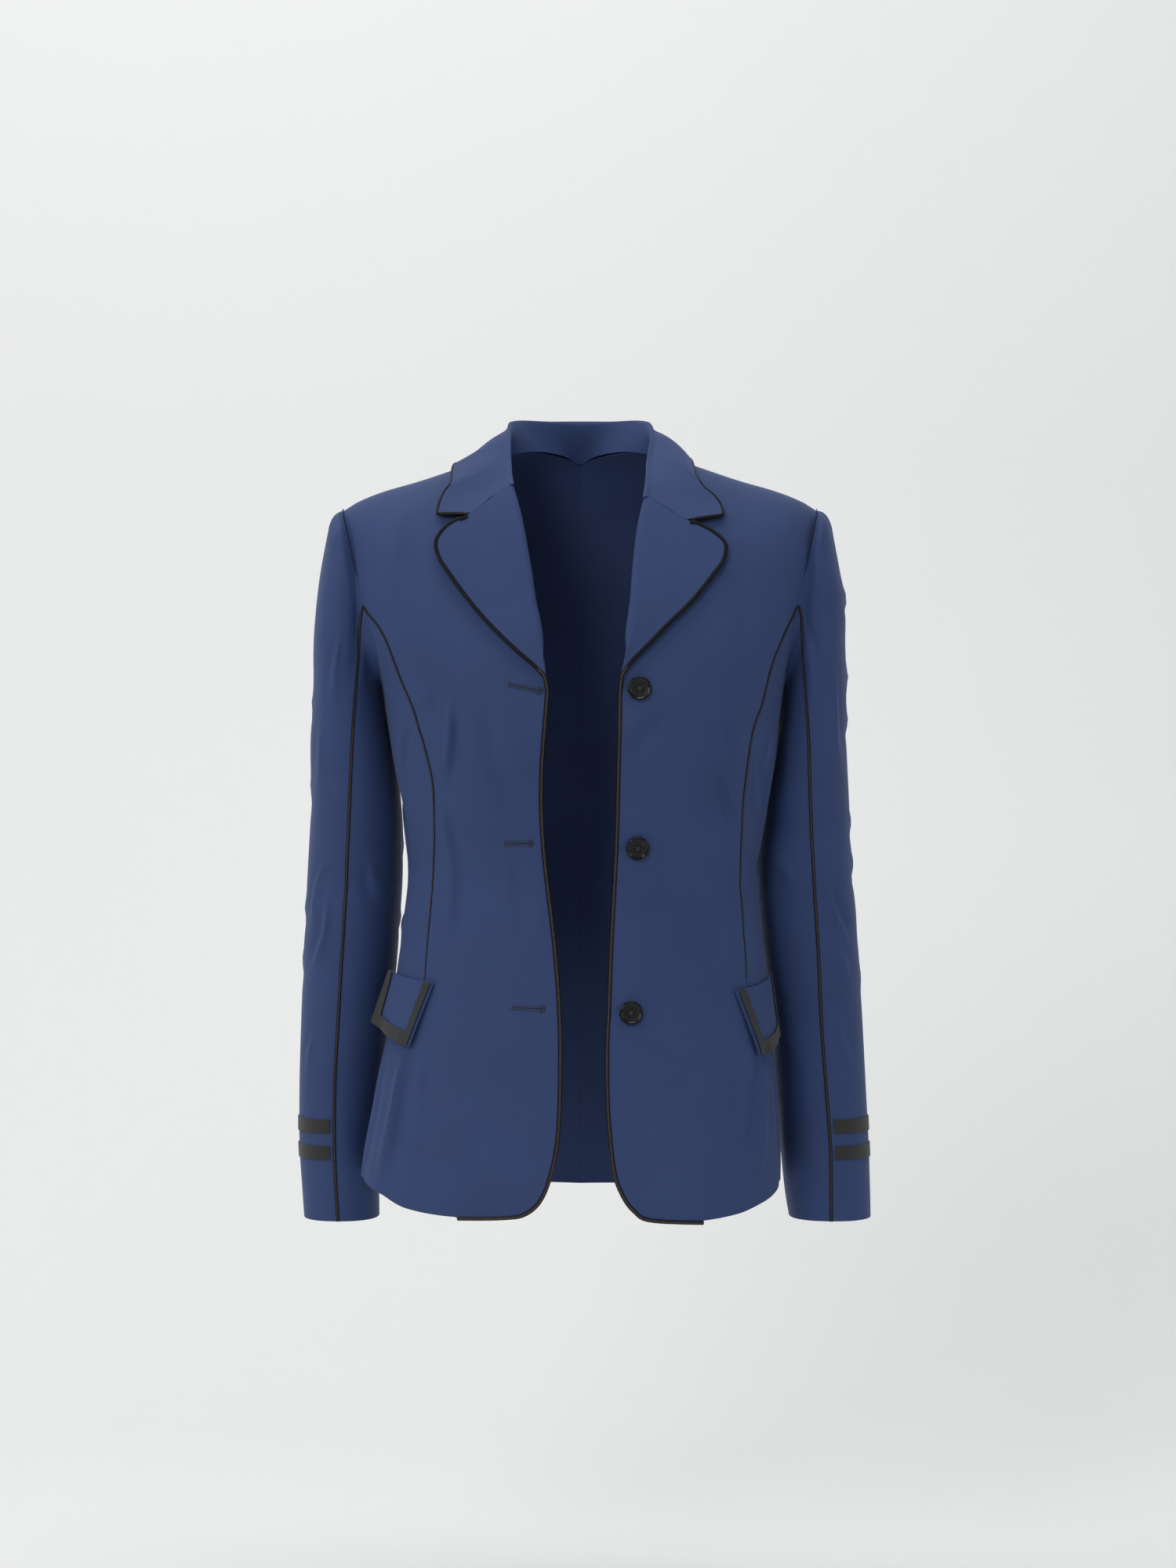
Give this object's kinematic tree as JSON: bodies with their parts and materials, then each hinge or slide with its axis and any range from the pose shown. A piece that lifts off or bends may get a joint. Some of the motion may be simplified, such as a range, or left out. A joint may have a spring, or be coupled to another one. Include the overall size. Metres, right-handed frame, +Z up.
{
  "type": "riding jacket",
  "caption": "Fitted single-breasted riding jacket with notched lapels, piped seams and edges, slanting pocket flaps and ribbon bars at the cuffs, worn open.",
  "frame": {"origin": "between the tops of the shoulder seams, at the base of the neck, where the wearer's shoulders hold the jacket up", "axes": "+Z up along the body, -Y out of the front, +X the wearer's left"},
  "size_m": [0.5041, 0.2316, 0.6995],
  "materials": {
    "cloth": "smooth dull twill",
    "piping": "satin cord",
    "ribbon": "ribbed matt ribbon",
    "button": "polished"
  },
  "bodies": {
    "root": {"back_left": "cloth", "back_right": "cloth", "button_1": "button", "button_2": "button", "button_3": "button", "collar": "cloth", "collar_piping": "piping", "cuff_ribbon_left_1": "ribbon", "cuff_ribbon_left_2": "ribbon", "cuff_ribbon_right_1": "ribbon", "cuff_ribbon_right_2": "ribbon", "flap_band_left": "ribbon", "flap_band_right": "ribbon", "flap_left": "cloth", "flap_right": "cloth", "front_left": "cloth", "front_piping_left": "piping", "front_piping_right": "piping", "front_right": "cloth", "lapel_left": "cloth", "lapel_piping_left": "piping", "lapel_piping_right": "piping", "lapel_right": "cloth", "princess_piping_left": "piping", "princess_piping_right": "piping", "side_left": "cloth", "side_right": "cloth", "sleeve_piping_left": "piping", "sleeve_piping_right": "piping", "top_sleeve_left": "cloth", "top_sleeve_right": "cloth", "under_sleeve_left": "cloth", "under_sleeve_right": "cloth"}
  },
  "joints": []
}
